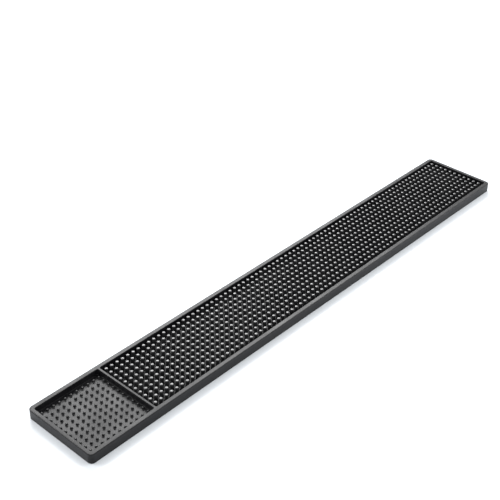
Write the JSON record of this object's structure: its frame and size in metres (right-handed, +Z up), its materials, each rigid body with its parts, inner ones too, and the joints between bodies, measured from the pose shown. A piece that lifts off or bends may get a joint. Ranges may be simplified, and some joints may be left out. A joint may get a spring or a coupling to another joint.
{
  "type": "bar service mat",
  "caption": "Long black moulded rubber bar mat with a raised border, a field of drip pegs and a square tray at one end; it lies flat and folds in half.",
  "frame": {"origin": "centre of the mat's underside, on the surface it lies on", "axes": "+X along the mat, away from the square tray; +Y across it; +Z up, the way the pegs point"},
  "size_m": [0.591, 0.0826, 0.01],
  "materials": {
    "black_rubber": "matt moulded black rubber"
  },
  "bodies": {
    "near_panel": {"well_floor": "black_rubber", "near_end_rim": "black_rubber", "well_rim_front": "black_rubber", "well_rim_back": "black_rubber", "divider_rib": "black_rubber", "near_panel_floor": "black_rubber", "near_panel_rim_front": "black_rubber", "near_panel_rim_back": "black_rubber"},
    "near_ease_1": {"near_ease_1_floor": "black_rubber", "near_ease_1_rim_front": "black_rubber", "near_ease_1_rim_back": "black_rubber"},
    "near_ease_2": {"near_ease_2_floor": "black_rubber", "near_ease_2_rim_front": "black_rubber", "near_ease_2_rim_back": "black_rubber"},
    "near_ease_3": {"near_ease_3_floor": "black_rubber", "near_ease_3_rim_front": "black_rubber", "near_ease_3_rim_back": "black_rubber"},
    "fold_link_1": {"fold_link_1_floor": "black_rubber", "fold_link_1_rim_front": "black_rubber", "fold_link_1_rim_back": "black_rubber"},
    "fold_link_2": {"fold_link_2_floor": "black_rubber", "fold_link_2_rim_front": "black_rubber", "fold_link_2_rim_back": "black_rubber"},
    "fold_link_3": {"fold_link_3_floor": "black_rubber", "fold_link_3_rim_front": "black_rubber", "fold_link_3_rim_back": "black_rubber"},
    "fold_link_4": {"fold_link_4_floor": "black_rubber", "fold_link_4_rim_front": "black_rubber", "fold_link_4_rim_back": "black_rubber"},
    "fold_link_5": {"fold_link_5_floor": "black_rubber", "fold_link_5_rim_front": "black_rubber", "fold_link_5_rim_back": "black_rubber"},
    "far_ease_3": {"far_ease_3_floor": "black_rubber", "far_ease_3_rim_front": "black_rubber", "far_ease_3_rim_back": "black_rubber"},
    "far_ease_2": {"far_ease_2_floor": "black_rubber", "far_ease_2_rim_front": "black_rubber", "far_ease_2_rim_back": "black_rubber"},
    "far_ease_1": {"far_ease_1_floor": "black_rubber", "far_ease_1_rim_front": "black_rubber", "far_ease_1_rim_back": "black_rubber"},
    "far_panel": {"far_panel_floor": "black_rubber", "far_panel_rim_front": "black_rubber", "far_panel_rim_back": "black_rubber", "far_end_rim": "black_rubber"}
  },
  "joints": [
    {"name": "near_ease_1_bend", "type": "hinge", "parent": "near_panel", "child": "near_ease_1", "pos_m": [-0.12373, 0, 0.01], "axis": [0, -1, 0], "range_deg": [0, 2.88], "stiffness_Nm_per_rad": 0.07},
    {"name": "near_ease_2_bend", "type": "hinge", "parent": "near_ease_1", "child": "near_ease_2", "pos_m": [-0.08563, 0, 0.01], "axis": [0, -1, 0], "range_deg": [0, 2.88], "stiffness_Nm_per_rad": 0.07},
    {"name": "near_ease_3_bend", "type": "hinge", "parent": "near_ease_2", "child": "near_ease_3", "pos_m": [-0.04752, 0, 0.01], "axis": [0, -1, 0], "range_deg": [0, 2.88], "stiffness_Nm_per_rad": 0.07},
    {"name": "loop_bend_1", "type": "hinge", "parent": "near_ease_3", "child": "fold_link_1", "pos_m": [-0.01578, 0, 0], "axis": [0, 1, 0], "range_deg": [0, 32.88], "stiffness_Nm_per_rad": 0.4},
    {"name": "loop_bend_2", "type": "hinge", "parent": "fold_link_1", "child": "fold_link_2", "pos_m": [-0.00942, 0, 0], "axis": [0, 1, 0], "range_deg": [0, 32.88], "stiffness_Nm_per_rad": 0.4},
    {"name": "loop_bend_3", "type": "hinge", "parent": "fold_link_2", "child": "fold_link_3", "pos_m": [-0.00308, 0, 0], "axis": [0, 1, 0], "range_deg": [0, 32.88], "stiffness_Nm_per_rad": 0.4},
    {"name": "loop_bend_4", "type": "hinge", "parent": "fold_link_3", "child": "fold_link_4", "pos_m": [0.00328, 0, 0], "axis": [0, 1, 0], "range_deg": [0, 32.88], "stiffness_Nm_per_rad": 0.4},
    {"name": "loop_bend_5", "type": "hinge", "parent": "fold_link_4", "child": "fold_link_5", "pos_m": [0.00962, 0, 0], "axis": [0, 1, 0], "range_deg": [0, 32.88], "stiffness_Nm_per_rad": 0.4},
    {"name": "loop_bend_6", "type": "hinge", "parent": "fold_link_5", "child": "far_ease_3", "pos_m": [0.01597, 0, 0], "axis": [0, 1, 0], "range_deg": [0, 32.88], "stiffness_Nm_per_rad": 0.4},
    {"name": "far_ease_2_bend", "type": "hinge", "parent": "far_ease_3", "child": "far_ease_2", "pos_m": [0.04772, 0, 0.01], "axis": [0, -1, 0], "range_deg": [0, 2.88], "stiffness_Nm_per_rad": 0.07},
    {"name": "far_ease_1_bend", "type": "hinge", "parent": "far_ease_2", "child": "far_ease_1", "pos_m": [0.08582, 0, 0.01], "axis": [0, -1, 0], "range_deg": [0, 2.88], "stiffness_Nm_per_rad": 0.07},
    {"name": "far_panel_bend", "type": "hinge", "parent": "far_ease_1", "child": "far_panel", "pos_m": [0.12392, 0, 0.01], "axis": [0, -1, 0], "range_deg": [0, 2.88], "stiffness_Nm_per_rad": 0.07}
  ]
}
